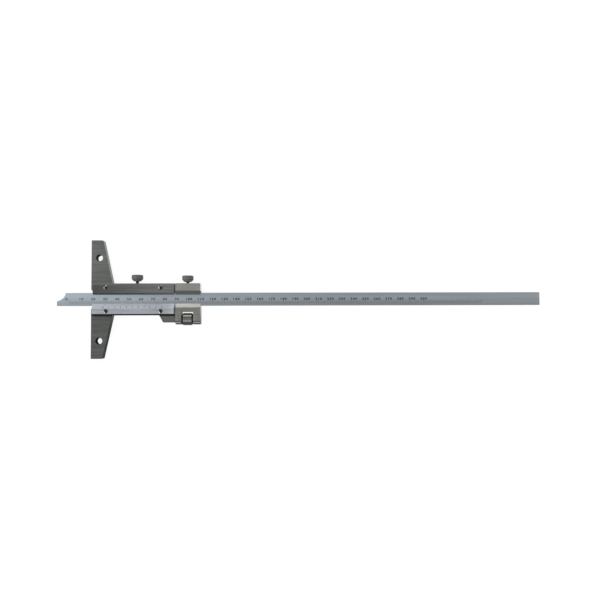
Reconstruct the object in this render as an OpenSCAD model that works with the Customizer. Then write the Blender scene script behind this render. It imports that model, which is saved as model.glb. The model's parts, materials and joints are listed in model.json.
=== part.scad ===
// Vernier depth gauge with fine adjustment.
// A cross base carries a slider, a graduated beam runs through the slider, and a
// small carriage clamps to the beam and moves the slider with a knurled feed nut.
// The gauge lies on its back: +X runs along the beam, away from the measuring
// face, +Y runs towards the clamp screws and +Z out of the graduated face.
// The origin is on the back face, midway between the two extension holes.

/* [Base] */
// Span of the base across the beam
base_l = 100; // [90:1:140]
// Thickness of the base and the slider body
base_t = 8; // [7.4:0.1:10]
// Width of a base arm where it leaves the slider
arm_root_w = 17.7; // [16:0.1:22]
// Width of a base arm at its outer end
arm_tip_w = 9.7; // [8.5:0.1:14]
// Radius of the outer back corners of the arms
arm_corner_r = 1.2; // [0.8:0.1:3]
// Diameter of the extension holes
hole_d = 5.5; // [4:0.1:6]
// Distance between the two extension holes
hole_pitch = 70; // [50:1:84]
// Distance of the extension holes from the measuring face
hole_inset = 6.7; // [4:0.1:7]
// Countersink of the extension holes, over the hole radius
hole_edge = 0.35; // [0.1:0.05:0.6]
// Break of the arms' outer edges
arm_edge = 0.3; // [0.1:0.05:0.4]
// Width of the relief across the beam in the measuring face
relief_w = 15.8; // [14:0.1:22]
// Depth of that relief
relief_depth = 0.8; // [0.3:0.1:0.9]

/* [Slider] */
// Length of the slider from the measuring face
slider_l = 69.8; // [66:0.1:90]
// Width of the slider across the beam
slider_w = 26.9; // [25.4:0.1:32]
// Length of the lug that holds the feed screw, at its lower edge
lug_l = 9.6; // [8:0.1:14]
// Run of the lug's slanted side
lug_slant = 3.5; // [1:0.1:6]
// Metal of the lug below the feed screw's axis
lug_below = 2.8; // [2:0.1:4]

/* [Beam] */
// Length of the beam
beam_l = 411; // [330:1:480]
// Width of the beam
beam_w = 11; // [10:0.1:12]
// Thickness of the beam
beam_t = 3.5; // [2.6:0.1:4]
// Reading that the gauge is set to
reading = 28.5; // [0:0.5:200]
// Width of the nose at the beam's tip
nose_w = 4.1; // [3:0.1:6]
// Length of the hollow relief behind the nose
nose_relief_l = 7.3; // [5:0.1:9]
// Radius of that relief
nose_relief_r = 8.4; // [8:0.1:12]

/* [Plates] */
// Thickness of the cover plate and the vernier plate
plate_t = 2; // [1.6:0.1:2.6]
// How far the cover plate laps over the beam
cover_lap = 1.6; // [1:0.1:2]
// How far the vernier plate laps over the beam
vernier_lap = 1.8; // [1:0.1:2.4]
// Edge of the slider left bare outside the cover plate
cover_margin = 1.3; // [0.5:0.1:1.6]
// Edge of the slider left bare outside the vernier plate
vernier_margin = 1; // [0.5:0.1:1.6]
// Width of the bevel that carries the vernier
vernier_bevel_w = 4.3; // [3:0.1:5]
// Width of the bevel along the cover plate
cover_bevel_w = 1.2; // [0.5:0.1:2]
// Thickness left at the thin edge of a bevel
bevel_edge_t = 0.25; // [0.15:0.05:0.5]
// Setback of the cover plate from the measuring face
cover_setback = 1.6; // [1:0.1:4]
// Setback of the vernier plate from the measuring face
vernier_setback = 1; // [1:0.1:4]
// Setback of both plates from the slider's end
plate_end_setback = 0.25; // [0:0.05:1]
// Bevel across the vernier plate's end
vernier_end_bevel = 0.5; // [0.2:0.1:1]
// Distance of the first plate screw from the measuring face
plate_screw_start = 12.5; // [10:0.1:16]
// Distance of the last plate screw from the slider's end
plate_screw_end = 11.6; // [9:0.1:16]
// Distance of the plate screws from the outer edge of their plate
plate_screw_inset = 2.3; // [2.3:0.1:3]
// Head diameter of the plate screws
plate_screw_head_d = 4.2; // [3.4:0.1:4.4]
// Thread diameter of the plate screws
plate_screw_d = 2.5; // [2:0.1:3]
// Length of a plate screw in the slider body
plate_screw_hold = 4; // [3:0.1:5]

/* [Gibs and clamp screws] */
// Thickness of the gib strips
gib_t = 1; // [0.8:0.05:1.2]
// Setback of a gib strip from each end of its slot
gib_setback = 2; // [1:0.1:4]
// Distance of the slider's clamp screw from the measuring face
slider_clamp_x = 38.1; // [30:0.1:46]
// Thread diameter of the clamp screws
clamp_d = 2.6; // [2:0.1:3]
// Diameter of the dog point that presses the gib
clamp_dog_d = 1.9; // [1.4:0.1:1.9]
// Length of that dog point
clamp_dog_l = 1; // [0.6:0.1:1.4]
// Head diameter of the clamp screws
clamp_head_d = 9.6; // [8:0.1:12]
// Height of the knurled rim of a clamp screw's head
clamp_rim_h = 3; // [2:0.1:5]
// Height of the tapered underside of the head
clamp_under_h = 2.3; // [1:0.1:3]
// Diameter of the flat that the taper ends at
clamp_under_d = 6; // [4:0.1:7]
// Bare neck under the head of the slider's clamp screw
slider_clamp_neck = 1.9; // [1:0.1:4]
// Bare neck under the head of the carriage's clamp screw
carriage_clamp_neck = 1.3; // [1:0.1:4]
// Diameter of the small screws that set the slider's gib
gib_screw_d = 2; // [1.6:0.1:2.4]
// Distance of the first gib screw from the measuring face
gib_screw_start = 24; // [20:0.1:28]
// Distance between the two gib screws
gib_screw_pitch = 26; // [22:0.1:30]

/* [Carriage] */
// Gap between the slider and the carriage
carriage_gap = 0.8; // [0.8:0.1:4]
// Length of the carriage
carriage_l = 20.9; // [19:0.1:26]
// Height of the carriage over its back face
carriage_t = 10; // [9.8:0.1:12]
// Width of the bevels beside the beam
carriage_bevel_w = 3.2; // [2:0.1:3.4]
// Metal of the carriage below the feed screw's axis
carriage_below = 4.5; // [3.6:0.1:5]
// Radius along the lower front edge
carriage_round_r = 2.8; // [1:0.1:3]
// Radius of the lower corners
carriage_corner_r = 0.8; // [0.3:0.1:1.5]
// Distance of the nut window from the carriage's end
window_inset = 5; // [4:0.1:6]
// Width of the nut window
window_w = 9.9; // [8:0.1:11]

/* [Feed screw and nut] */
// Distance of the feed screw's axis from the beam's axis
feed_drop = 16.8; // [16.6:0.1:19]
// Height of the feed screw's axis over the back face
feed_z = 5.25; // [5.2:0.05:5.6]
// Thread diameter of the feed screw
feed_d = 3; // [2.4:0.1:3.2]
// Length of the feed screw held in the lug
feed_hold = 8; // [6:0.1:8]
// Travel of the carriage away from the slider
feed_travel = 6; // [3:0.5:8]
// Diameter of the pin that locks the feed screw
feed_pin_d = 1.2; // [0.8:0.1:1.4]
// Diameter of the knurled nut
nut_d = 10.3; // [8:0.1:10.3]
// Length of the bevel at each end of the nut
nut_bevel_l = 1.3; // [0.5:0.1:2]
// Height of the bevel at each end of the nut
nut_bevel_h = 1.6; // [0.5:0.1:2]

/* [Knurls] */
// Ridges round the nut
nut_ridges = 44; // [24:1:60]
// Ridges round a clamp screw's head
clamp_ridges = 40; // [24:1:60]
// Depth of the knurls
knurl_depth = 0.25; // [0.1:0.05:0.35]

/* [Fits] */
// Clearance of the sliding fits
slide_clear = 0.04; // [0.02:0.01:0.08]
// Clearance round a thread
thread_clear = 0.03; // [0.02:0.01:0.08]
// Gap that a clamp screw closes between its gib and the beam
gib_gap = 0.1; // [0.05:0.01:0.15]
// Room behind a gib when its clamp screw is backed off
gib_room = 0.3; // [0.2:0.05:0.4]
// Clearance round the nut in its window
window_clear = 0.95; // [0.5:0.05:1.5]
// Gap at each side of the nut
nut_side_gap = 0.08; // [0.05:0.01:0.15]

/* [Hidden] */
$fn = 64;

// Overrun of every cut past the surface that it opens
cut = 1;
// Slot of the small screws
slot_w = 0.6;
slot_depth = 0.5;
// Sink of a plate screw's head below the face of its plate
head_sink = 0.1;
// Bevel round the crown of a clamp screw's head, and the crown's rise
rim_edge = 0.5;
rim_dome = 0.15;
// Bevel at the end of the feed screw
screw_edge = 0.3;
// Break of the plates' outer edges
small_edge = 0.2;
// Turn of the slot in each plate screw
cover_slot_turns = [130, 112];
vernier_slot_turns = [120, 105];

// Places along the beam, from the measuring face
face_x = -hole_inset;
slider_end = face_x + slider_l;
tip_x = face_x - reading;
carriage_x = slider_end + carriage_gap;
window_x = carriage_x + window_inset;
nut_l = window_w - 2 * nut_side_gap;

// Places across the beam
slider_edge = slider_w / 2;
beam_edge_y = beam_w / 2;
slot_low_y = -beam_edge_y - slide_clear;
gib_y = beam_edge_y + gib_gap;
slot_top_y = gib_y + gib_t + gib_room;
cover_y = beam_edge_y - cover_lap;
cover_top_y = slider_edge - cover_margin;
vernier_y = vernier_lap - beam_edge_y;
vernier_low_y = vernier_margin - slider_edge;
feed_y = -feed_drop;
lug_low_y = feed_y - lug_below;
carriage_low_y = feed_y - carriage_below;
window_top_y = feed_y + nut_d / 2 + window_clear;

// Heights over the back face
beam_top_z = base_t - slide_clear;
beam_z = beam_top_z - beam_t;
slot_z = beam_z - slide_clear;
clamp_height_share = 0.42;
clamp_z = slot_z + (base_t - slot_z) * clamp_height_share;
plate_top_z = base_t + plate_t;

// A prism along X whose outline is drawn in Y and Z
module along_x(x, l) {
  translate([x, 0, 0]) rotate([90, 0, 90]) linear_extrude(l) children();
}

// A round bar along X, Y or Z that starts at a point
module bar_x(p, d, l) { translate(p) rotate([0, 90, 0]) cylinder(d = d, h = l); }
module bar_y(p, d, l) { translate(p) rotate([-90, 0, 0]) cylinder(d = d, h = l); }
module bar_z(p, d, l) { translate(p) cylinder(d = d, h = l); }

// The disc with straight knurling that both the nut and the clamp heads are cut from
module knurled_disc(d, h, ridges) {
  linear_extrude(h) polygon([
    for (i = [0 : 2 * ridges - 1])
      let (r = d / 2 - (i % 2) * knurl_depth, a = i * 180 / ridges)
        [r * cos(a), r * sin(a)]
  ]);
}

// Outline of the base: two tapered arms, the slider between them and the lug
module base_outline() {
  polygon([
    [face_x, -base_l / 2], [face_x + arm_tip_w, -base_l / 2], [face_x + arm_root_w, -slider_edge],
    [slider_end - lug_l - lug_slant, -slider_edge], [slider_end - lug_l, lug_low_y],
    [slider_end, lug_low_y], [slider_end, slider_edge], [face_x + arm_root_w, slider_edge],
    [face_x + arm_tip_w, base_l / 2], [face_x, base_l / 2]
  ]);
}

// An arm's slanted side leans by this angle, so its outer corner is blunter than square
arm_lean = atan2(arm_root_w - arm_tip_w, base_l / 2 - slider_edge);
// Centre of the round on that corner
corner_x = face_x + arm_tip_w - arm_corner_r * tan(45 - arm_lean / 2);
corner_y = base_l / 2 - arm_corner_r;

// Round on the outer corner of the arm at +Y, with its upper edge broken
module arm_corner() {
  translate([corner_x, corner_y, 0]) rotate([0, 0, arm_lean]) rotate_extrude(angle = 90 - arm_lean)
    polygon([
      [arm_corner_r, -cut], [arm_corner_r, base_t - arm_edge],
      [arm_corner_r - 2 * arm_edge, base_t + arm_edge], [2 * arm_corner_r, base_t + arm_edge],
      [2 * arm_corner_r, -cut]
    ]);
}

// Break along the upper edge that ends at a point and whose side face looks along an angle
module edge_cut(p, angle, l) {
  translate([p[0], p[1], base_t]) rotate([0, 0, angle]) rotate([90, 0, 0]) translate([0, 0, -cut])
    linear_extrude(l + cut)
      polygon([[-2 * arm_edge, arm_edge], [arm_edge, -2 * arm_edge], [arm_edge, arm_edge]]);
}

// Breaks of the upper edges of the arm at +Y: its slanted side and its end
module arm_edges() {
  side_p = [corner_x + arm_corner_r * cos(arm_lean), corner_y + arm_corner_r * sin(arm_lean)];
  edge_cut(side_p, arm_lean, norm(side_p - [face_x + arm_root_w, slider_edge]));
  mirror([1, 0, 0]) edge_cut([-corner_x, base_l / 2], 90, corner_x - face_x + cut);
}

module extension_hole() {
  translate([0, hole_pitch / 2, 0]) {
    translate([0, 0, -cut]) cylinder(d = hole_d, h = base_t + 2 * cut);
    translate([0, 0, base_t - hole_edge])
      cylinder(d1 = hole_d, d2 = hole_d + 2 * (hole_edge + cut), h = hole_edge + cut);
    translate([0, 0, -cut])
      cylinder(d1 = hole_d + 2 * (hole_edge + cut), d2 = hole_d, h = hole_edge + cut);
  }
}

module base_body() color("dimgray") difference() {
  linear_extrude(base_t) base_outline();
  // relief across the measuring face
  translate([face_x - cut, -relief_w / 2, -cut])
    cube([relief_depth + cut, relief_w, base_t + 2 * cut]);
  // slot for the beam and its gib
  translate([face_x - cut, slot_low_y, slot_z])
    cube([slider_l + 2 * cut, slot_top_y - slot_low_y, base_t]);
  for (side = [0, 1]) mirror([0, side, 0]) {
    extension_hole();
    arm_corner();
    arm_edges();
    translate([0, 0, base_t]) mirror([0, 0, 1]) arm_edges();
  }
  for (i = [0, 1]) {
    plate_screw_hole(i, cover_screw_y);
    plate_screw_hole(i, vernier_screw_y);
    bar_y([gib_screw_x(i), slot_top_y - slot_depth, clamp_z], gib_screw_d + 2 * thread_clear, slider_w);
  }
  // hole for the clamp screw
  bar_y([face_x + slider_clamp_x, slot_top_y - slot_depth, clamp_z], clamp_d + 2 * thread_clear, slider_w);
  // bore for the feed screw and its pin
  bar_x([slider_end - feed_hold, feed_y, feed_z], feed_d + 2 * thread_clear, feed_hold + cut);
  bar_z([pin_x, feed_y, -cut], feed_pin_d + 2 * thread_clear, pin_top_z + cut);
}

// Both plates are held by two countersunk screws each
cover_screw_y = cover_top_y - plate_screw_inset;
vernier_screw_y = vernier_low_y + plate_screw_inset;
function plate_screw_x(i) = i == 0 ? face_x + plate_screw_start : slider_end - plate_screw_end;
function gib_screw_x(i) = face_x + gib_screw_start + i * gib_screw_pitch;

module plate_screw_hole(i, y) {
  bar_z([plate_screw_x(i), y, base_t - plate_screw_hold - thread_clear],
    plate_screw_d + 2 * thread_clear, plate_screw_hold + plate_t);
}

// Bore, countersink and sink for a plate screw's head, as one turned form
module plate_screw_seat(i, y) {
  r = plate_screw_d / 2 + thread_clear;
  head_r = plate_screw_head_d / 2;
  top = plate_top_z - head_sink;
  translate([plate_screw_x(i), y, 0]) rotate_extrude() polygon([
    [0, base_t - cut], [r, base_t - cut], [r, top - head_r + r], [head_r, top],
    [head_r, plate_top_z + cut], [0, plate_top_z + cut]
  ]);
}

module plate_screw(i, y, turn) {
  head_h = (plate_screw_head_d - plate_screw_d) / 2 - thread_clear;
  top = plate_top_z - head_sink;
  translate([plate_screw_x(i), y, 0]) rotate([0, 0, turn]) difference() {
    union() {
      translate([0, 0, base_t - plate_screw_hold])
        cylinder(d = plate_screw_d, h = plate_screw_hold + plate_t - head_sink);
      translate([0, 0, top - head_h])
        cylinder(d1 = plate_screw_d, d2 = plate_screw_head_d - 2 * thread_clear, h = head_h);
    }
    translate([-plate_screw_head_d, -slot_w / 2, top - slot_depth])
      cube([2 * plate_screw_head_d, slot_w, slot_depth + cut]);
  }
}

module cover_plate() color("gray") difference() {
  along_x(face_x + cover_setback, slider_l - cover_setback - plate_end_setback) polygon([
    [cover_y, base_t], [cover_y, base_t + bevel_edge_t], [cover_y + cover_bevel_w, plate_top_z],
    [cover_top_y - small_edge, plate_top_z], [cover_top_y, plate_top_z - small_edge], [cover_top_y, base_t]
  ]);
  for (i = [0, 1]) plate_screw_seat(i, cover_screw_y);
}

module vernier_plate() color("lightsteelblue") difference() {
  along_x(face_x + vernier_setback, slider_l - vernier_setback - plate_end_setback) polygon([
    [vernier_y, base_t], [vernier_y, base_t + bevel_edge_t],
    [vernier_y - vernier_bevel_w, plate_top_z],
    [vernier_low_y + small_edge, plate_top_z], [vernier_low_y, plate_top_z - small_edge], [vernier_low_y, base_t]
  ]);
  for (i = [0, 1]) plate_screw_seat(i, vernier_screw_y);
  // bevel across the plate's end
  translate([slider_end - plate_end_setback, 0, plate_top_z - vernier_end_bevel])
    rotate([90, 0, 0]) linear_extrude(slider_w) polygon([
      [cut, -cut], [cut, vernier_end_bevel + cut],
      [-vernier_end_bevel - cut, vernier_end_bevel + cut]
    ]);
}

module cover_screw_left() color("slategray") plate_screw(0, cover_screw_y, cover_slot_turns[0]);
module cover_screw_right() color("slategray") plate_screw(1, cover_screw_y, cover_slot_turns[1]);
module vernier_screw_left() color("slategray") plate_screw(0, vernier_screw_y, vernier_slot_turns[0]);
module vernier_screw_right() color("slategray") plate_screw(1, vernier_screw_y, vernier_slot_turns[1]);

// Slotted screws without a head, flush with the slider's upper edge
module gib_screw(i) {
  l = slider_edge - slot_top_y;
  difference() {
    bar_y([gib_screw_x(i), slot_top_y, clamp_z], gib_screw_d, l);
    translate([gib_screw_x(i) - slot_w / 2, slider_edge - slot_depth, clamp_z - gib_screw_d])
      cube([slot_w, slot_depth + cut, 2 * gib_screw_d]);
  }
}
module gib_screw_left() color("slategray") gib_screw(0);
module gib_screw_right() color("slategray") gib_screw(1);

// Strip between the slot's wall and the beam
module gib_strip(x, l) {
  translate([x + gib_setback, gib_y, slot_z + slide_clear])
    cube([l - 2 * gib_setback, gib_t, base_t - slot_z - 2 * slide_clear]);
}
module slider_gib() color("darkkhaki") gib_strip(face_x, slider_l);
module carriage_gib() color("darkkhaki") gib_strip(carriage_x, carriage_l);

// Head turned round the screw's axis: a tapered underside, a rim and a bevelled crown.
// The turned form is wider than the ridges where it doesn't shape them.
module clamp_head() {
  r = clamp_head_d / 2;
  h = clamp_under_h + clamp_rim_h;
  intersection() {
    translate([0, 0, -cut]) knurled_disc(clamp_head_d, h + 2 * cut, clamp_ridges);
    rotate_extrude() polygon([
      [0, 0], [clamp_under_d / 2, 0], [r + rim_edge, clamp_under_h],
      [r + rim_edge, h - 2 * rim_edge], [r - rim_edge, h], [0, h + rim_dome]
    ]);
  }
}

// A clamp screw whose dog point rests on its gib
module clamp_screw(x, neck) {
  tip_y = gib_y + gib_t + slide_clear;
  translate([x, 0, clamp_z]) rotate([-90, 0, 0]) {
    translate([0, 0, tip_y]) cylinder(d = clamp_dog_d, h = clamp_dog_l);
    translate([0, 0, tip_y + clamp_dog_l])
      cylinder(d = clamp_d, h = slider_edge + neck + clamp_under_h - tip_y - clamp_dog_l);
    translate([0, 0, slider_edge + neck]) clamp_head();
  }
}
carriage_clamp_x = window_x + window_w / 2;
module slider_clamp_screw() color("dimgray") clamp_screw(face_x + slider_clamp_x, slider_clamp_neck);
module carriage_clamp_screw() color("dimgray") clamp_screw(carriage_clamp_x, carriage_clamp_neck);

// Fixed screw that the feed nut runs on
feed_screw_end = window_x + window_w + feed_travel - nut_l / 2 + feed_d / 2;
pin_x = slider_end - feed_hold / 2;
pin_top_z = feed_z + feed_d / 2 + feed_pin_d / 2;
module feed_screw() color("silver") difference() {
  l = feed_screw_end - slider_end + feed_hold;
  translate([slider_end - feed_hold, feed_y, feed_z]) rotate([0, 90, 0]) {
    cylinder(d = feed_d, h = l - screw_edge);
    translate([0, 0, l - screw_edge])
      cylinder(d1 = feed_d, d2 = feed_d - 2 * screw_edge, h = screw_edge);
  }
  bar_z([pin_x, feed_y, -cut], feed_pin_d + 2 * thread_clear, base_t + cut);
}
module feed_screw_pin() color("silver") bar_z([pin_x, feed_y, 0], feed_pin_d, pin_top_z);

module main_scale_beam() color("lightsteelblue") difference() {
  translate([tip_x, -beam_edge_y, beam_z]) cube([beam_l, beam_w, beam_t]);
  nose_relief();
}

// The relief's arc runs from the top of the nose to the beam's upper edge
relief_rise = beam_w - nose_w;
relief_chord = norm([nose_relief_l, relief_rise]);
relief_back = sqrt(nose_relief_r * nose_relief_r - relief_chord * relief_chord / 4);
relief_cx = nose_relief_l / 2 - relief_back * relief_rise / relief_chord;
relief_cy = relief_rise / 2 + relief_back * nose_relief_l / relief_chord;
module nose_relief() {
  translate([tip_x + relief_cx, nose_w - beam_edge_y + relief_cy, beam_z - cut])
    cylinder(r = nose_relief_r, h = beam_t + 2 * cut, $fn = 96);
}

// Section of the carriage across the beam: a slot with two bevelled lips over the beam
module carriage_section() {
  lip_z = base_t + slide_clear;
  top = slider_edge;
  difference() {
    polygon([[carriage_low_y, 0], [top, 0], [top, carriage_t], [carriage_low_y, carriage_t]]);
    // slot for the beam and its gib
    polygon([[slot_low_y, slot_z], [slot_top_y, slot_z], [slot_top_y, lip_z], [slot_low_y, lip_z]]);
    // opening between the lips
    polygon([
      [vernier_y, slot_z], [cover_y, slot_z], [cover_y, lip_z + bevel_edge_t],
      [cover_y + carriage_bevel_w, carriage_t], [cover_y + carriage_bevel_w, carriage_t + cut],
      [vernier_y - carriage_bevel_w, carriage_t + cut], [vernier_y - carriage_bevel_w, carriage_t],
      [vernier_y, lip_z + bevel_edge_t]
    ]);
    // round along the lower front edge
    difference() {
      translate([carriage_low_y - cut, carriage_t - carriage_round_r])
        square([carriage_round_r + cut, carriage_round_r + cut]);
      translate([carriage_low_y + carriage_round_r, carriage_t - carriage_round_r])
        circle(r = carriage_round_r);
      translate([carriage_low_y + carriage_round_r, carriage_t - 2 * carriage_round_r])
        square([carriage_round_r, 3 * carriage_round_r]);
    }
  }
}

module carriage_corner(x, side) {
  translate([x, carriage_low_y, -cut]) difference() {
    translate([side > 0 ? -carriage_corner_r : -cut, -cut, 0])
      cube([carriage_corner_r + cut, carriage_corner_r + cut, carriage_t + 2 * cut]);
    translate([-side * carriage_corner_r, carriage_corner_r, -cut])
      cylinder(r = carriage_corner_r, h = carriage_t + 4 * cut);
  }
}

module carriage_block() color("darkgray") difference() {
  along_x(carriage_x, carriage_l) carriage_section();
  translate([window_x, carriage_low_y - cut, -cut])
    cube([window_w, window_top_y - carriage_low_y + cut, carriage_t + 2 * cut]);
  bar_x([carriage_x - cut, feed_y, feed_z], feed_d + 2 * slide_clear, carriage_l + 2 * cut);
  bar_y([carriage_clamp_x, slot_top_y - slot_depth, clamp_z], clamp_d + 2 * thread_clear, slider_w);
  carriage_corner(carriage_x, -1);
  carriage_corner(carriage_x + carriage_l, 1);
}

// Knurled drum with bevelled ends that fills the window
module feed_nut() color("gray")
  translate([window_x + nut_side_gap, feed_y, feed_z]) rotate([0, 90, 0]) difference() {
    intersection() {
      translate([0, 0, -cut]) knurled_disc(nut_d, nut_l + 2 * cut, nut_ridges);
      rotate_extrude() polygon([
        [0, 0], [nut_d / 2 - nut_bevel_h, 0], [nut_d / 2 + nut_bevel_h, 2 * nut_bevel_l],
        [nut_d / 2 + nut_bevel_h, nut_l - 2 * nut_bevel_l], [nut_d / 2 - nut_bevel_h, nut_l], [0, nut_l]
      ]);
    }
    translate([0, 0, -cut]) cylinder(d = feed_d + 2 * thread_clear, h = nut_l + 2 * cut);
  }

base_body();
cover_plate();
vernier_plate();
cover_screw_left();
cover_screw_right();
vernier_screw_left();
vernier_screw_right();
gib_screw_left();
gib_screw_right();
slider_gib();
slider_clamp_screw();
feed_screw();
feed_screw_pin();
main_scale_beam();
carriage_block();
carriage_gib();
carriage_clamp_screw();
feed_nut();
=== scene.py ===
import json
from math import atan2, hypot, pi, radians

import bmesh
import bpy
from mathutils import Euler, Matrix, Vector


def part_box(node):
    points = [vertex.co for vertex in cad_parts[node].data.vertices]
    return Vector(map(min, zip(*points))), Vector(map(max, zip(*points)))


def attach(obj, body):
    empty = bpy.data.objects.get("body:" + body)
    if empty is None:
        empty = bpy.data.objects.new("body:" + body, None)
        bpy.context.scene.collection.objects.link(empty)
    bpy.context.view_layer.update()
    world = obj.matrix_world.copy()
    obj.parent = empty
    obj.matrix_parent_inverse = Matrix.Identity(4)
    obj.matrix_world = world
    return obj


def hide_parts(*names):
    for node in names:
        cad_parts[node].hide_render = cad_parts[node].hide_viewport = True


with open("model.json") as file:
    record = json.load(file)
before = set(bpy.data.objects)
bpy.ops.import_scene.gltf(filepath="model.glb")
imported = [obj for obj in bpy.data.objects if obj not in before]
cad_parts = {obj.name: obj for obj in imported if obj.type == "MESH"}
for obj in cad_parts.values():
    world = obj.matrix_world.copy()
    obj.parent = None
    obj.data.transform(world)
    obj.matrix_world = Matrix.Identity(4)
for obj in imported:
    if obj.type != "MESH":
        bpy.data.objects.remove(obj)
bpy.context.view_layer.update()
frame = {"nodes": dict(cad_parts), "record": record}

mm = 0.001

# Camera, floor and lights. Lengths are in metres.

camera = {
    "place": (0.14692, -0.02562, 0.58501),
    "turn": (2.4619, -2.1869, -0.2108),  # degrees about X, Y and Z
    "lens": 40.758,
    "sensor": 36.0,
    "clip": (0.01, 20.0),
}

studio = {
    "floorSize": 8.0,
    "floorDrop": 0.0001,
    "floorColour": (0.9, 0.9, 0.9, 1.0),
    "floorWhite": 1.13,  # level of the floor's own white
    "cameraShare": 0.8,  # share of that white in what the camera sees
    "metalShare": 0.7,  # and in what polished metal mirrors
    # Painted shade: the floor that metal mirrors is dark on the -Y side
    "mirroredAcross": (-0.024, 0.003),  # Y where the floor that metal mirrors turns to white
    "mirroredGrey": 0.1,  # and its level before that
    "keyPlace": (-0.74, 0.95, 0.6),
    "keySize": (3.0, 0.42),
    "keyPower": 8.2,
    "keyAim": (0.12, 0.0, 0.0),
    "skyEdge": 0.2,  # the horizon's greys reach up to this rise
    "skyTop": 0.45,  # and the greys overhead start at this one
    "skySlant": -0.35,  # how far the bright side turns towards -X
    "skyStops": (  # grey level overhead from the -Y side to the +Y side
        (0.0, 0.12), (0.09, 0.12), (0.12, 1.3), (0.3, 1.5), (0.42, 0.45), (0.49, 0.45),
        (0.57, 1.0), (0.64, 0.5), (0.8, 0.38), (0.88, 0.5), (0.94, 1.1), (1.0, 1.25),
    ),
    "horizonStops": ((0.0, 0.12), (0.3, 0.4), (0.55, 1.0), (1.0, 1.1)),
    "leanStops": (  # what the greys overhead are multiplied by, from -X to +X
        (0.0, 1.1), (0.2, 1.4), (0.35, 1.0), (0.7, 1.0), (0.82, 0.55), (1.0, 0.5),
    ),
}


def aimedAt(place, target):
    return (Vector(target) - Vector(place)).to_track_quat("-Z", "Y").to_euler()


def addCamera(facts):
    lens = bpy.data.cameras.new("camera")
    lens.sensor_width = facts["sensor"]
    lens.lens = facts["lens"]
    lens.clip_start, lens.clip_end = facts["clip"]
    eye = bpy.data.objects.new("camera", lens)
    eye.location = facts["place"]
    eye.rotation_euler = Euler([radians(turn) for turn in facts["turn"]])
    bpy.context.scene.collection.objects.link(eye)
    bpy.context.scene.camera = eye


def addSoftbox(name, place, target, size, power):
    lamp = bpy.data.lights.new(name, "AREA")
    lamp.shape = "RECTANGLE"
    lamp.size, lamp.size_y = size
    lamp.energy = power
    holder = bpy.data.objects.new(name, lamp)
    holder.location = place
    holder.rotation_euler = aimedAt(place, target)
    bpy.context.scene.collection.objects.link(holder)


# Shader maths as plain expressions: a sum on a Field adds its Math node

class Field:
    def __init__(self, finish, socket):
        self.finish = finish
        self.socket = socket

    def combined(self, operation, *values):
        sockets = dict(enumerate(values))
        return self.finish.node("ShaderNodeMath", {"operation": operation}, sockets)

    def __add__(self, other):
        return self.combined("ADD", self, other)

    def __radd__(self, other):
        return self.combined("ADD", other, self)

    def __sub__(self, other):
        return self.combined("SUBTRACT", self, other)

    def __rsub__(self, other):
        return self.combined("SUBTRACT", other, self)

    def __mul__(self, other):
        return self.combined("MULTIPLY", self, other)

    def __pow__(self, other):
        return self.combined("POWER", self, other)

    def __abs__(self):
        return self.combined("ABSOLUTE", self)

    # From 0 to 1 as the value goes from low to high
    def within(self, low, high):
        sockets = {"Value": self, "From Min": low, "From Max": high}
        return self.finish.node("ShaderNodeMapRange", {"clamp": True}, sockets)


class Finish:
    def __init__(self, name, tree=None):
        if tree is None:
            self.material = bpy.data.materials.new(name)
            self.material.use_nodes = True
            tree = self.material.node_tree
        self.tree = tree
        self.tree.nodes.clear()

    def node(self, kind, settings=None, sockets=None, output=0):
        made = self.tree.nodes.new(kind)
        for name, value in (settings or {}).items():
            if name == "stops":
                self.setStops(made.color_ramp, value)
            else:
                setattr(made, name, value)
        for name, value in (sockets or {}).items():
            if isinstance(value, Field):
                self.tree.links.new(value.socket, made.inputs[name])
            else:
                made.inputs[name].default_value = value
        return Field(self, made.outputs[output]) if made.outputs else None

    def setStops(self, ramp, stops):
        while len(ramp.elements) < len(stops):
            ramp.elements.new(1.0)
        for element, (position, grey) in zip(ramp.elements, stops):
            element.position = position
            element.color = (grey, grey, grey, 1.0)

    def place(self, axis):
        where = self.node("ShaderNodeTexCoord", output="Object")
        return self.node("ShaderNodeSeparateXYZ", sockets={"Vector": where}, output=axis)

    # Noise whose grain has its own length along X, Y and Z, in millimetres
    def grain(self, lengths, detail):
        where = self.node("ShaderNodeTexCoord", output="Object")
        scale = [1.0 / (length * mm) for length in lengths]
        spot = self.node("ShaderNodeMapping", sockets={"Vector": where, "Scale": scale})
        sockets = {"Vector": spot, "Scale": 1.0, "Detail": detail}
        return self.node("ShaderNodeTexNoise", sockets=sockets)

    def mixed(self, factor, first, second, blend="MIX"):
        settings = {"data_type": "RGBA", "blend_type": blend}
        return self.node("ShaderNodeMix", settings, {0: factor, 6: first, 7: second}, output=2)

    def multiplied(self, first, second):
        return self.mixed(1.0, first, second, "MULTIPLY")

    def shaded(self, factor, stops):
        return self.node("ShaderNodeValToRGB", {"stops": stops}, {"Fac": factor})

    # Painted light and shade: multiplies a colour by greys along an axis, each one
    # (millimetres, grey)
    def drifted(self, colour, greys, axis="X"):
        start, end = greys[0][0], greys[-1][0]
        along = self.place(axis).within(start * mm, end * mm)
        stops = [((spot - start) / (end - start), grey) for spot, grey in greys]
        return self.multiplied(colour, self.shaded(along, stops))

    def bumped(self, height, depth):
        sockets = {"Height": height, "Distance": depth * mm, "Strength": 1.0}
        return self.node("ShaderNodeBump", sockets=sockets)

    def finished(self, sockets):
        shader = self.node("ShaderNodeBsdfPrincipled", sockets=sockets)
        self.node("ShaderNodeOutputMaterial", sockets={"Surface": shader})
        return self.material


def rgb(red, green, blue):
    return (red, green, blue, 1.0)


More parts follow.
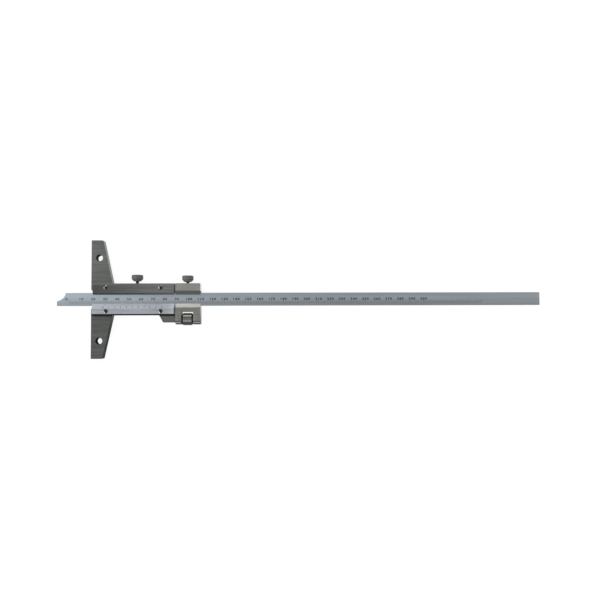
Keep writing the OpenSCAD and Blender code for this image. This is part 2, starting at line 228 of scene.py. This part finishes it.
def addFloor(facts):
    shape = bmesh.new()
    bmesh.ops.create_grid(shape, x_segments=1, y_segments=1, size=facts["floorSize"] / 2)
    bmesh.ops.translate(shape, verts=shape.verts, vec=(0, 0, -facts["floorDrop"]))
    mesh = bpy.data.meshes.new("floor")
    shape.to_mesh(mesh)
    shape.free()
    floor = bpy.data.objects.new("floor", mesh)
    bpy.context.scene.collection.objects.link(floor)
    finish = Finish("floorPaint")
    seen = finish.node("ShaderNodeLightPath", output="Is Camera Ray")
    mirrored = finish.node("ShaderNodeLightPath", output="Is Glossy Ray")
    through = finish.node("ShaderNodeLightPath", output="Is Transmission Ray")
    matt = finish.node("ShaderNodeBsdfDiffuse", sockets={"Color": facts["floorColour"]})
    # Painted shade in what metal mirrors: the floor's glow is dark on the -Y side
    grey = facts["mirroredGrey"]
    level = finish.place("Y").within(*facts["mirroredAcross"]) * (1 - grey) + grey
    levels = {"Red": level, "Green": level, "Blue": level}
    glow = finish.node("ShaderNodeCombineColor", sockets=levels)
    sockets = {
        "Color": finish.mixed(mirrored, rgb(1, 1, 1), glow),
        "Strength": facts["floorWhite"],
    }
    white = finish.node("ShaderNodeEmission", sockets=sockets)
    share = (seen + through) * facts["cameraShare"] + mirrored * facts["metalShare"]
    surface = finish.node("ShaderNodeMixShader", sockets={0: share, 1: matt, 2: white})
    finish.node("ShaderNodeOutputMaterial", sockets={"Surface": surface})
    mesh.materials.append(finish.material)


# The sky is white to the camera and has the studio's light and dark parts for all else
def addSky(facts):
    world = bpy.data.worlds.new("studio")
    world.use_nodes = True
    bpy.context.scene.world = world
    finish = Finish("studio", world.node_tree)
    where = finish.node("ShaderNodeTexCoord", output="Generated")
    along, across, rise = [
        finish.node("ShaderNodeSeparateXYZ", sockets={"Vector": where}, output=axis)
        for axis in "XYZ"]
    side = (across + along * facts["skySlant"]).within(-1, 1)
    tent = finish.shaded(side, facts["skyStops"])
    lean = finish.shaded(along.within(-1, 1), facts["leanStops"])
    horizon = finish.shaded(side, facts["horizonStops"])
    height = rise.within(facts["skyEdge"], facts["skyTop"])
    light = finish.mixed(height, horizon, finish.multiplied(tent, lean))
    seen = finish.node("ShaderNodeLightPath", output="Is Camera Ray")
    through = finish.node("ShaderNodeLightPath", output="Is Transmission Ray")
    shade = finish.mixed(seen + through, light, rgb(1, 1, 1))
    surface = finish.node("ShaderNodeBackground", sockets={"Color": shade, "Strength": 1.0})
    finish.node("ShaderNodeOutputWorld", sockets={"Surface": surface})


addCamera(camera)
addFloor(studio)
addSky(studio)
addSoftbox("key", studio["keyPlace"], studio["keyAim"], studio["keySize"], studio["keyPower"])
bpy.context.scene.view_settings.view_transform = "Standard"
print("camera, floor and lights are set")

# Finishes of the metals. Grain lengths and depths are in millimetres. Painted light's pairs are
# (millimetres along X or Y, grey that multiplies the colour there).

groundSteel = {
    "dark": rgb(0.125, 0.133, 0.128),
    "light": rgb(0.205, 0.214, 0.204),
    "bands": (26.0, 1.1, 1.1),
    "lines": (9.0, 0.16, 0.16),
    "roughness": (0.3, 0.46),
    "depth": 0.012,
}

baseSteel = dict(
    groundSteel,
    # Painted light and shade: the base is lighter towards +X, darker on its lower arm, and
    # lighter on its upper arm and along the slider's top edge
    drift=((-7, 1.0), (14, 1.0), (40, 1.28), (63, 1.3)),
    driftAcross=(
        (-50, 0.77), (-30, 0.85), (-14, 0.76), (6, 0.96), (11.4, 0.97),
        (11.8, 1.12), (13.5, 1.12), (14, 1.0), (30, 1.18), (50, 1.15)))
coverSteel = dict(
    groundSteel,
    # Painted light: the cover plate is darker at its left end and lighter towards +X
    drift=((-5, 0.62), (15, 0.8), (25, 0.92), (40, 1.06), (63, 1.34)))

satinChrome = {
    "dark": rgb(0.375, 0.4, 0.44),
    "light": rgb(0.48, 0.51, 0.55),
    # Painted light and shade: the vernier plate is lighter at its right end, and its flat is
    # lighter than its bevel
    "drift": (
        (-6, 0.95), (10, 0.97), (35, 1.0), (48, 0.93), (56, 0.94), (60, 1.08), (63, 1.2),
    ),
    "driftAcross": ((-12.3, 1.09), (-8.1, 1.09), (-7.9, 0.95), (-3.7, 0.98)),
    "bands": (34.0, 2.6, 2.6),
    "lines": (2.4, 0.12, 0.12),
    "roughness": (0.4, 0.5),
    "depth": 0.004,
}

beamChrome = {
    "dark": rgb(0.43, 0.49, 0.54),
    "light": rgb(0.53, 0.585, 0.635),
    # Painted light and shade: the beam is lighter at its left end, darker towards +X, and
    # darker along its lower edge
    "drift": (
        (-35, 1.03), (-16, 1.03), (20, 1.0), (50, 0.85),
        (109, 0.8), (210, 0.71), (295, 0.76), (376, 0.8),
    ),
    "driftAcross": ((-5.5, 0.83), (-1.2, 0.93), (1.5, 1.02)),
    "bands": (60.0, 3.0, 3.0),
    "lines": (3.0, 0.12, 0.12),
    "roughness": (0.38, 0.48),
    "depth": 0.004,
}

carriageSteel = {
    "dark": rgb(0.265, 0.265, 0.25),
    "light": rgb(0.35, 0.355, 0.335),
    "bands": (16.0, 0.9, 0.9),
    "lines": (5.0, 0.14, 0.14),
    "roughness": (0.28, 0.42),
    "depth": 0.008,
    # Painted light and shade: the end face at +X is made much lighter, and across Y the colour
    # is darker and lighter in bands
    "drift": ((64, 1.0), (84.65, 1.0), (84.8, 2.2)),
    "driftAcross": (
        (-21.3, 0.85), (-20, 0.8), (-19.3, 0.84), (-7.3, 0.84), (-6.8, 1.07),
        (-3.7, 1.07), (3.7, 0.37), (7.0, 0.37), (7.4, 1.1), (13.5, 1.1),
    ),
    "filmAndShadeColour": rgb(0.04, 0.04, 0.04),
    "filmAndShadeRoughness": 0.6,
}

nutSteel = {
    "dark": rgb(0.185, 0.185, 0.18),
    "light": rgb(0.28, 0.28, 0.27),
    "bands": (0.8, 4.0, 4.0),
    "lines": (0.12, 2.0, 2.0),
    "roughness": (0.15, 0.25),
    "depth": 0.003,
    "filmAndShadeColour": rgb(0.02, 0.02, 0.02),
    "filmAndShadeRoughness": 0.7,
}

knurledSteel = {
    "dark": rgb(0.3, 0.3, 0.303),
    "light": rgb(0.44, 0.44, 0.44),
    "bands": (3.0, 0.9, 3.0),
    "lines": (1.2, 0.14, 1.2),
    "roughness": (0.28, 0.42),
    "depth": 0.004,
    "filmAndShadeColour": rgb(0.012, 0.012, 0.013),
    "filmAndShadeRoughness": 0.7,
}

darkScrew = {
    # Bright metal that shows where the plate screws' glint is painted; elsewhere a dark film
    "dark": rgb(0.85, 0.85, 0.84),
    "light": rgb(0.96, 0.96, 0.95),
    "bands": (1.2, 1.2, 1.2),
    "lines": (0.2, 0.2, 0.2),
    "roughness": (0.2, 0.3),
    "depth": 0.002,
    "filmAndShadeColour": rgb(0.01, 0.01, 0.014),
    "filmAndShadeRoughness": 0.5,
}

brightSteel = {
    "dark": rgb(0.36, 0.36, 0.355),
    "light": rgb(0.52, 0.52, 0.51),
    "bands": (0.6, 3.0, 3.0),
    "lines": (0.1, 1.5, 1.5),
    "roughness": (0.2, 0.34),
    "depth": 0.004,
}

gibBronze = {
    "dark": rgb(0.34, 0.24, 0.12),
    "light": rgb(0.48, 0.36, 0.2),
    "bands": (14.0, 0.7, 0.7),
    "lines": (4.0, 0.12, 0.12),
    "roughness": (0.3, 0.44),
    "depth": 0.006,
}

machining = {
    "bandDetail": 3.0,
    "lineDetail": 2.0,
    "bandShare": 0.6,  # what the bands count in the colour, where the lines are the rest
    "range": (0.35, 0.65),  # the middle of the noise, which is stretched from 0 to 1
}


# A machined metal: broad bands and fine lines of the cut, in colour, gloss and relief
def machined(name, facts, finish=None):
    finish = finish or Finish(name)
    bands = finish.grain(facts["bands"], machining["bandDetail"])
    lines = finish.grain(facts["lines"], machining["lineDetail"])
    share = machining["bandShare"]
    tone = (bands * share + lines * (1 - share)).within(*machining["range"])
    low, high = facts["roughness"]
    colour = finish.mixed(tone, facts["dark"], facts["light"])
    # Painted light and shade, along X and across Y, where the facts give them
    if "drift" in facts:
        colour = finish.drifted(colour, facts["drift"])
    if "driftAcross" in facts:
        colour = finish.drifted(colour, facts["driftAcross"], "Y")
    roughness = low + lines.within(*machining["range"]) * (high - low)
    metal = 1.0
    # The screws' dark film, and painted shade, where the facts give them
    if "film" in facts:
        film = facts["film"]
        colour = finish.mixed(film, colour, facts["filmAndShadeColour"])
        roughness = roughness * (1 - film) + film * facts["filmAndShadeRoughness"]
        metal = 1 - film
    return finish.finished({
        "Base Color": colour,
        "Metallic": metal,
        "Roughness": roughness,
        "Normal": finish.bumped(lines, facts["depth"]),
    })


# A metal darkened where an attribute of the piece says: the screws' own dark film, darker knurl
# grooves, and painted shade on the clamp necks and on the carriage's step
def filmed(name, facts):
    finish = Finish(name)
    film = finish.node("ShaderNodeAttribute", {"attribute_name": "grime"}, output="Fac")
    return machined(name, dict(facts, film=film), finish)


markingPaint = {
    "dark": rgb(0.02, 0.022, 0.026),
    "light": rgb(0.05, 0.052, 0.06),
    "speckle": (0.3, 0.3, 0.3),
    "detail": 3.0,
    "roughness": (0.55, 0.75),
    "depth": 0.004,
}


def painted(name, facts):
    finish = Finish(name)
    speckle = finish.grain(facts["speckle"], facts["detail"])
    low, high = facts["roughness"]
    return finish.finished({
        "Base Color": finish.mixed(speckle, facts["dark"], facts["light"]),
        "Roughness": low + speckle * (high - low),
        "Normal": finish.bumped(speckle, facts["depth"]),
    })


# Painted shade darkens the extension holes' walls and the ledge under the vernier plate.
# Lengths are in millimetres.
basePaintedShade = {
    "colour": rgb(0.007, 0.0075, 0.008),
    "roughness": 0.85,
    "holePitch": 70.0,
    "holeRadius": 3.0,
    "ledge": (-12.3, -13.8),  # Y at which the ledge's painted shade starts and ends
    "ledgeFade": 1.1,
    "ledgeRise": (7.8, 7.95),  # Z between which it comes in
    "softness": 0.1,  # over which the other borders fade
}


def groundBase(name, facts, grime):
    finish = Finish(name)
    x, y, z = [finish.place(axis) for axis in "XYZ"]
    fromHole = abs(y) - grime["holePitch"] / 2 * mm
    away = (x ** 2 + fromHole ** 2) ** 0.5
    soft, radius = grime["softness"], grime["holeRadius"]
    bore = away.within(radius * mm, (radius - soft) * mm)
    start, end = grime["ledge"]
    foot, top = grime["ledgeRise"]
    below = y.within((start + soft) * mm, start * mm)
    above = y.within((end - grime["ledgeFade"]) * mm, end * mm)
    # Painted shade on the holes' walls and on the ledge under the vernier plate
    film = bore + above * below * z.within(foot * mm, top * mm)
    paintedShade = {"film": film, "filmAndShadeColour": grime["colour"], "filmAndShadeRoughness": grime["roughness"]}
    return machined(name, dict(facts, **paintedShade), finish)


finishes = {
    "ground_steel": machined("groundSteel", groundSteel),
    "satin_chrome": machined("satinChrome", satinChrome),
    "beam_chrome": machined("beamChrome", beamChrome),
    "carriage_steel": filmed("carriageSteel", carriageSteel),
    "nut_steel": filmed("nutSteel", nutSteel),
    "knurled_steel": filmed("knurledSteel", knurledSteel),
    "dark_screw": filmed("darkScrew", darkScrew),
    "bright_steel": machined("brightSteel", brightSteel),
    "gib_bronze": machined("gibBronze", gibBronze),
}
coverFinish = machined("coverSteel", coverSteel)
baseFinish = groundBase("baseSteel", baseSteel, basePaintedShade)
inkFinish = painted("markingPaint", markingPaint)
print("finishes are mixed")

# Pieces

bodies = frame["record"]["behaviour"]["bodies"]
bodyOf = {node: body for body, nodes in bodies.items() for node in nodes}
slotOf = {part["node"]: part["material_slot"] for part in frame["record"]["subparts"]}
smoothAngle = radians(30)
flatAngle = radians(0.2)
mergeGap = 0.0001  # millimetres
pickMargin = 0.01  # tolerance of the tests that pick points, in millimetres


def placed(name, shape, body, slotName, finish=None, replaced=()):
    mesh = bpy.data.meshes.new(name)
    shape.to_mesh(mesh)
    shape.free()
    mesh.materials.append(finish or finishes[slotName])
    mesh.polygons.foreach_set("use_smooth", [True] * len(mesh.polygons))
    mesh.set_sharp_from_angle(angle=smoothAngle)
    piece = bpy.data.objects.new(name, mesh)
    bpy.context.scene.collection.objects.link(piece)
    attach(piece, body)
    if replaced:
        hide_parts(*replaced)
    return piece


def rounded(piece, edge):
    rounding = piece.modifiers.new("edge", "BEVEL")
    rounding.width = edge * mm
    rounding.segments = 2
    rounding.limit_method = "ANGLE"
    rounding.angle_limit = smoothAngle
    rounding.harden_normals = True


# A step along the carriage's lower front edge, which sets its round lower by a little.
# Lengths are in millimetres.
carriageStep = {
    "start": -18.3,  # Y where the slope starts
    "end": -19.1,  # and where it has come down
    "roundFoot": 7.2,
    "top": 10.0,
    "drop": 0.65,
    # painted shade on the step's slope
    "grime": 1.0,
}


def cutAt(shape, y):
    bmesh.ops.bisect_plane(
        shape, geom=shape.verts[:] + shape.edges[:] + shape.faces[:],
        plane_co=(0, y, 0), plane_no=(0, 1, 0))


def stepDown(shape, facts):
    start, end = facts["start"] * mm, facts["end"] * mm
    foot, top = facts["roundFoot"] * mm, facts["top"] * mm
    margin = pickMargin * mm
    cutAt(shape, start)
    cutAt(shape, end)
    for point in shape.verts:
        if point.co.y < start and point.co.z > foot:
            share = min(1.0, (start - point.co.y) / (start - end))
            point.co.z -= facts["drop"] * mm * share * (point.co.z - foot) / (top - foot)

    def onSlope(spot):
        return end - margin < spot.y < start - margin and spot.z > foot

    # Painted shade on the slope
    grimed(shape, facts["grime"], onSlope)


# Sets how dark the points that a test picks are made
def grimed(shape, share, picked):
    grime = shape.verts.layers.float.get("grime") or shape.verts.layers.float.new("grime")
    for point in shape.verts:
        if picked(point.co):
            point[grime] = share


gibScrewGrime = 0.93


# The node's own shape with merged points, flat faces made whole and its edges broken
def edged(node, name, edge, finish=None):
    source = frame["nodes"][node].data
    shape = bmesh.new()
    shape.from_mesh(source)
    bmesh.ops.remove_doubles(shape, verts=shape.verts, dist=mergeGap * mm)
    bmesh.ops.dissolve_limit(
        shape, angle_limit=flatAngle, verts=shape.verts, edges=shape.edges,
        use_dissolve_boundaries=False)
    if node == "carriage_block":
        stepDown(shape, carriageStep)
    if slotOf[node] == "dark_screw":
        grimed(shape, gibScrewGrime, lambda spot: True)
    rounded(placed(name, shape, bodyOf[node], slotOf[node], finish, (node,)), edge)


# Each node's dressed piece: its name, its broken edge's width in millimetres, its own finish
edges = {
    "base_body": ("baseBody", 0.1, baseFinish),
    "cover_plate": ("coverPlate", 0.08, coverFinish),
    "vernier_plate": ("vernierPlate", 0.08),
    "gib_screw_left": ("gibScrewLeft", 0.05),
    "gib_screw_right": ("gibScrewRight", 0.05),
    "slider_gib": ("sliderGib", 0.06),
    "feed_screw_pin": ("feedScrewPin", 0.08),
    "main_scale_beam": ("mainScaleBeam", 0.12),
    "carriage_block": ("carriageBlock", 0.1),
    "carriage_gib": ("carriageGib", 0.06),
}
for node, facts in edges.items():
    edged(node, *facts)
print("ground pieces are dressed")


def boxOf(node):
    low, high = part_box(node)
    return Vector(low) / mm, Vector(high) / mm


# A turned piece: the outline's points are (radius, height), spun about Z
def turned(outline, steps):
    shape = bmesh.new()
    points = [shape.verts.new((radius, 0, height)) for radius, height in outline]
    lines = [shape.edges.new(pair) for pair in zip(points, points[1:])]
    bmesh.ops.spin(
        shape, geom=points + lines, cent=(0, 0, 0), axis=(0, 0, 1), angle=2 * pi, steps=steps,
        use_merge=True)
    bmesh.ops.remove_doubles(shape, verts=shape.verts, dist=mergeGap)
    bmesh.ops.recalc_face_normals(shape, faces=shape.faces)
    return shape


# Own shapes are made in millimetres about their own centre, then set in place in metres
def settled(shape, place, turn=None):
    bmesh.ops.transform(shape, matrix=turn or Matrix(), verts=shape.verts)
    bmesh.ops.translate(shape, vec=place, verts=shape.verts)
    bmesh.ops.scale(shape, vec=(mm, mm, mm), verts=shape.verts)


ridgeSteps = 8  # steps round the axis in each ridge of a knurl


# Pulls in one of each ridge's points on the full-radius rings, so that flat lands stay
# between the grooves
def knurled(shape, radius, facts):
    steps = facts["ridges"] * ridgeSteps
    groove = radius - facts["knurl"]
    pulled = set()
    for point in shape.verts:
        away = hypot(point.co.x, point.co.y)
        step = round(atan2(point.co.y, point.co.x) * steps / (2 * pi))
        if step % ridgeSteps == 0 and away > groove - pickMargin:
            point.co.xy *= groove / away
            pulled.add(tuple(point.co))
    # The grooves are made darker
    grimed(shape, facts["grooveDarkening"], lambda spot: tuple(spot) in pulled)


clampScrew = {
    "dogRadius": 0.95,
    "dogLength": 1.0,
    "shankRadius": 1.3,
    "underRadius": 3.0,
    "taper": 1.8,  # height in which the underside widens to the rim
    "headRadius": 4.8,
    "headHeight": 5.3,
    "crown": 0.5,
    "dome": 0.15,
    "ridges": 40,
    "knurl": 0.18,
    "rimDarkening": 0.57,
    "rimFoot": 0.9,  # share of the taper's height from which that darkening starts
    "grooveDarkening": 0.8,
}


def addClampScrew(node, name, facts):
    low, high = boxOf(node)
    centre = (low + high) / 2
    length = high.y - low.y
    top = length - facts["dome"]
    under = top - facts["headHeight"]
    dog, shank, rim = facts["dogRadius"], facts["shankRadius"], facts["headRadius"]
    foot, taper, crown = facts["underRadius"], facts["taper"], facts["crown"]
    groove = rim - facts["knurl"]
    rise = taper * (groove - foot) / (rim - foot)
    shape = turned([
        (0, 0), (dog, 0), (dog, facts["dogLength"]), (shank, facts["dogLength"]),
        (shank, under), (foot, under), (groove, under + rise), (rim, under + taper),
        (rim, top - crown), (groove, top - crown + facts["knurl"]), (rim - crown, top),
        (0, length)], facts["ridges"] * ridgeSteps)

    def onNeck(spot):
        away = hypot(spot.x, spot.y)
        return away < shank + pickMargin and spot.z < under + pickMargin

    grimed(shape, facts["rimDarkening"], lambda spot: spot.z > under + taper * facts["rimFoot"])
    knurled(shape, rim, facts)
    # Painted shade on the neck under the head
    grimed(shape, 1.0, onNeck)
    settled(shape, (centre.x, low.y, centre.z), Matrix.Rotation(-pi / 2, 4, "X"))
    placed(name, shape, bodyOf[node], slotOf[node], replaced=(node,))


addClampScrew("slider_clamp_screw", "sliderClampScrew", clampScrew)
addClampScrew("carriage_clamp_screw", "carriageClampScrew", clampScrew)

feedNut = {
    "boreRadius": 1.53,
    "endRadius": 3.55,
    "radius": 5.15,
    "bevel": 1.3,
    "ridges": 44,
    "knurl": 0.16,
    "grooveDarkening": 0.6,
}


def addFeedNut(node, facts):
    low, high = boxOf(node)
    centre = (low + high) / 2
    length = high.x - low.x
    bore, end, radius = facts["boreRadius"], facts["endRadius"], facts["radius"]
    bevel = facts["bevel"]
    groove = radius - facts["knurl"]
    rise = bevel * (groove - end) / (radius - end)
    shape = turned([
        (bore, 0), (end, 0), (groove, rise), (radius, bevel), (radius, length - bevel),
        (groove, length - rise), (end, length), (bore, length), (bore, 0)],
        facts["ridges"] * ridgeSteps)
    knurled(shape, radius, facts)
    settled(shape, (low.x, centre.y, centre.z), Matrix.Rotation(pi / 2, 4, "Y"))
    placed("feedNut", shape, bodyOf[node], slotOf[node], replaced=(node,))


addFeedNut("feed_nut", feedNut)
print("knurled pieces are turned")

plateScrew = {
    "shankRadius": 1.25,
    "rimRadius": 1.95,
    "rimDrop": 0.26,  # how far the rim's bevel falls from the core
    "glintRingRadius": 1.55,
    "coreRadius": 1.2,
    "lip": (0.05, -0.03),  # how far the core's lip stands out and down
    "dome": 0.2,
    "domeSteps": 4,
    "worn": {"cover": (55, 215), "vernier": (165, 255)},  # painted glint: the bright part of the rim, in degrees
    "rimDarkening": 0.5,
    "slotWidth": 0.85,
    "slotDepth": 0.5,
    "edge": 0.04,
    "steps": 56,
    "turns": {  # in degrees
        "cover_screw_left": 130,
        "cover_screw_right": 112,
        "vernier_screw_left": 120,
        "vernier_screw_right": 105,
    },
}


# The faces above a height and between two cuts go down to the slot's floor
def cutSlot(shape, width, depth, top):
    cutAt(shape, -width / 2)
    cutAt(shape, width / 2)
    strip = [
        face for face in shape.faces
        if abs(face.calc_center_median().y) < width / 2 and face.calc_center_median().z > top]
    grown = bmesh.ops.extrude_face_region(shape, geom=strip)["geom"]
    for point in grown:
        if isinstance(point, bmesh.types.BMVert):
            point.co.z = -depth
    bmesh.ops.delete(shape, geom=[face for face in strip if face.is_valid], context="FACES")


def addPlateScrew(node, facts):
    low, high = boxOf(node)
    centre = (low + high) / 2
    length = high.z - low.z
    shank, rim, core = facts["shankRadius"], facts["rimRadius"], facts["coreRadius"]
    drop, worn = facts["rimDrop"], facts["glintRingRadius"]
    lipOut, lipDown = facts["lip"]
    shares = [1 - step / facts["domeSteps"] for step in range(facts["domeSteps"] + 1)]
    dome = [(core * share, facts["dome"] * (1 - share ** 2)) for share in shares]
    shape = turned([
        (0, -length), (shank, -length), (shank, shank - rim - drop), (rim, -drop),
        (worn, -drop * (worn - core) / (rim - core)), (core + lipOut, lipDown)] + dome,
        facts["steps"])
    cutSlot(shape, facts["slotWidth"], facts["slotDepth"], -drop)
    turn = facts["turns"][node]
    words = node.split("_")
    start, end = [radians(angle - turn) for angle in facts["worn"][words[0]]]

    def isWorn(spot):
        return (atan2(spot.y, spot.x) - start) % (2 * pi) <= end - start

    def isDark(spot):
        away = hypot(spot.x, spot.y)
        if abs(spot.y) < facts["slotWidth"] / 2 + pickMargin or away < core + pickMargin:
            return True
        return away < rim - pickMargin and not isWorn(spot)

    # Painted glint: outside the bright arc the rim is darkened
    grimed(shape, facts["rimDarkening"], lambda spot: not isWorn(spot))
    grimed(shape, 1.0, isDark)
    settled(shape, (centre.x, centre.y, high.z), Matrix.Rotation(radians(turn), 4, "Z"))
    name = words[0] + "".join(word.title() for word in words[1:])
    rounded(placed(name, shape, bodyOf[node], slotOf[node], replaced=(node,)), facts["edge"])


for node in plateScrew["turns"]:
    addPlateScrew(node, plateScrew)

feedScrew = {
    "rootRadius": 1.22,
    "crestRadius": 1.49,
    "plainRadius": 1.45,
    "threadFrom": 63.1,  # X of the lug's end face
    "pitch": 0.5,
    "ridgeWidth": 0.49,
    "ridgeFoot": 0.05,  # how far the ridge reaches into the core
    "stepsPerTurn": 20,
    "steps": 40,
    "chamfer": 0.3,
}


# A core with chamfered ends, plain in the lug, and a ridge wound round the rest of it
def addFeedScrew(node, facts):
    low, high = boxOf(node)
    length = high.x - low.x
    start = facts["threadFrom"] - low.x
    root, plain, chamfer = facts["rootRadius"], facts["plainRadius"], facts["chamfer"]
    shape = turned([
        (0, 0), (plain - chamfer, 0), (plain, chamfer), (plain, start - chamfer),
        (root, start), (root, length - chamfer), (root - chamfer, length), (0, length)],
        facts["steps"])
    turns = (length - start - chamfer) // facts["pitch"]
    foot = root - facts["ridgeFoot"]
    ridge = bmesh.new()
    corners = [
        ridge.verts.new((foot, 0, start)),
        ridge.verts.new((facts["crestRadius"], 0, start + facts["pitch"] / 2)),
        ridge.verts.new((foot, 0, start + facts["ridgeWidth"]))]
    sides = [ridge.edges.new((corners[i - 1], corners[i])) for i in range(3)]
    bmesh.ops.spin(
        ridge, geom=corners + sides, cent=(0, 0, 0), axis=(0, 0, 1), angle=2 * pi * turns,
        steps=int(turns * facts["stepsPerTurn"]),
        dvec=(0, 0, facts["pitch"] / facts["stepsPerTurn"]))
    bmesh.ops.holes_fill(ridge, edges=ridge.edges)
    bmesh.ops.recalc_face_normals(ridge, faces=ridge.faces)
    wound = bpy.data.meshes.new("wound")
    ridge.to_mesh(wound)
    ridge.free()
    shape.from_mesh(wound)
    bpy.data.meshes.remove(wound)
    centre = (low + high) / 2
    settled(shape, (low.x, centre.y, centre.z), Matrix.Rotation(pi / 2, 4, "Y"))
    placed("feedScrew", shape, bodyOf[node], slotOf[node], replaced=(node,))


addFeedScrew("feed_screw", feedScrew)
print("screws are turned")

# Scales. All their lines and numbers are thin inlays whose faces stand just proud of the
# metal. Lengths are in millimetres.

beamScale = {
    "zero": -25.05,
    "length": 350,
    "numberStep": 10,
    "lastNumber": 300,
    "low": -4.19,
    "lineLengths": {10: 3.4, 5: 3.0, 1: 2.6},
    "lineWidth": 0.15,
    "numberRow": 0.06,
    "numberSize": 2.7,
    "numberWidth": 1.2,
    "letterSpace": 1.25,
    "weight": 0.08,  # how much wider the strokes are cut than the letters are drawn
    "longWeight": 0.12,  # the same for numbers from 100 on
    "zeroShift": -2.2,
}

vernierScale = {
    "zero": 3.45,
    "pitch": 0.98,
    "divisions": 50,
    "numberStep": 5,
    "edge": (-3.7, 8.25),  # Y and Z of the bevel's thin edge
    "slope": (4.3, 1.75),  # the bevel's run and rise
    "lineLengths": {5: 2.0, 1: 1.4},
    "lineWidth": 0.12,
    "numberRow": -3.45,
    "numberSize": 2.1,
    "numberWidth": 1.0,
    "letterSpace": 1.05,
    "weight": 0.02,
}

inlay = {"proud": 0.008, "depth": 0.02, "curveSteps": 3}
inlayMiddle = inlay["proud"] - inlay["depth"] / 2


# Adds a flat bar centred on x and from the low end upwards, its top just above z = 0
def addBar(shape, x, low, width, length):
    middle = (x, low + length / 2, inlayMiddle)
    size = (width, length, inlay["depth"])
    bmesh.ops.create_cube(shape, size=1, matrix=Matrix.LocRotScale(middle, None, size))


def addNumber(shape, text, x, row, facts):
    letters = bpy.data.curves.new("number", "FONT")
    letters.body = text
    letters.size = facts["numberSize"]
    letters.space_character = facts["letterSpace"]
    letters.align_x = "CENTER"
    letters.align_y = "CENTER"
    letters.resolution_u = inlay["curveSteps"]
    letters.offset = facts["longWeight"] if len(text) > 2 else facts["weight"]
    letters.extrude = inlay["depth"] / 2
    holder = bpy.data.objects.new("number", letters)
    mesh = bpy.data.meshes.new_from_object(holder)
    stretch = Vector((facts["numberWidth"], 1, 1))
    mesh.transform(Matrix.LocRotScale(Vector((x, row, inlayMiddle)), None, stretch))
    shape.from_mesh(mesh)
    bpy.data.objects.remove(holder)
    bpy.data.curves.remove(letters)
    bpy.data.meshes.remove(mesh)


# A line's length from the largest step that its count is a multiple of
def lineLength(lengths, count):
    return next(length for step, length in lengths.items() if count % step == 0)


def addBeamScale(facts):
    top = boxOf("main_scale_beam")[1].z
    lines = bmesh.new()
    for count in range(facts["length"] + 1):
        length = lineLength(facts["lineLengths"], count)
        addBar(lines, facts["zero"] + count, facts["low"], facts["lineWidth"], length)
    settled(lines, (0, 0, top))
    placed("beamLines", lines, "beam", "beam_chrome", inkFinish)
    numbers = bmesh.new()
    for count in range(0, facts["lastNumber"] + 1, facts["numberStep"]):
        shift = 0 if count else facts["zeroShift"]
        addNumber(numbers, str(count), facts["zero"] + count + shift, facts["numberRow"], facts)
    settled(numbers, (0, 0, top))
    placed("beamNumbers", numbers, "beam", "beam_chrome", inkFinish)


def addVernierScale(facts):
    y, z = facts["edge"]
    run, climb = facts["slope"]
    tilt = Matrix.Rotation(-atan2(climb, run), 4, "X")
    lines = bmesh.new()
    numbers = bmesh.new()
    for count in range(facts["divisions"] + 1):
        x = facts["zero"] + count * facts["pitch"]
        length = lineLength(facts["lineLengths"], count)
        addBar(lines, x, -length, facts["lineWidth"], length)
        number, rest = divmod(count, facts["numberStep"])
        if rest == 0:
            addNumber(numbers, str(number), x, facts["numberRow"], facts)
    for name, shape in (("vernierLines", lines), ("vernierNumbers", numbers)):
        settled(shape, (0, y, z), tilt)
        placed(name, shape, "slider", "satin_chrome", inkFinish)


addBeamScale(beamScale)
addVernierScale(vernierScale)
print("scales are inlaid")
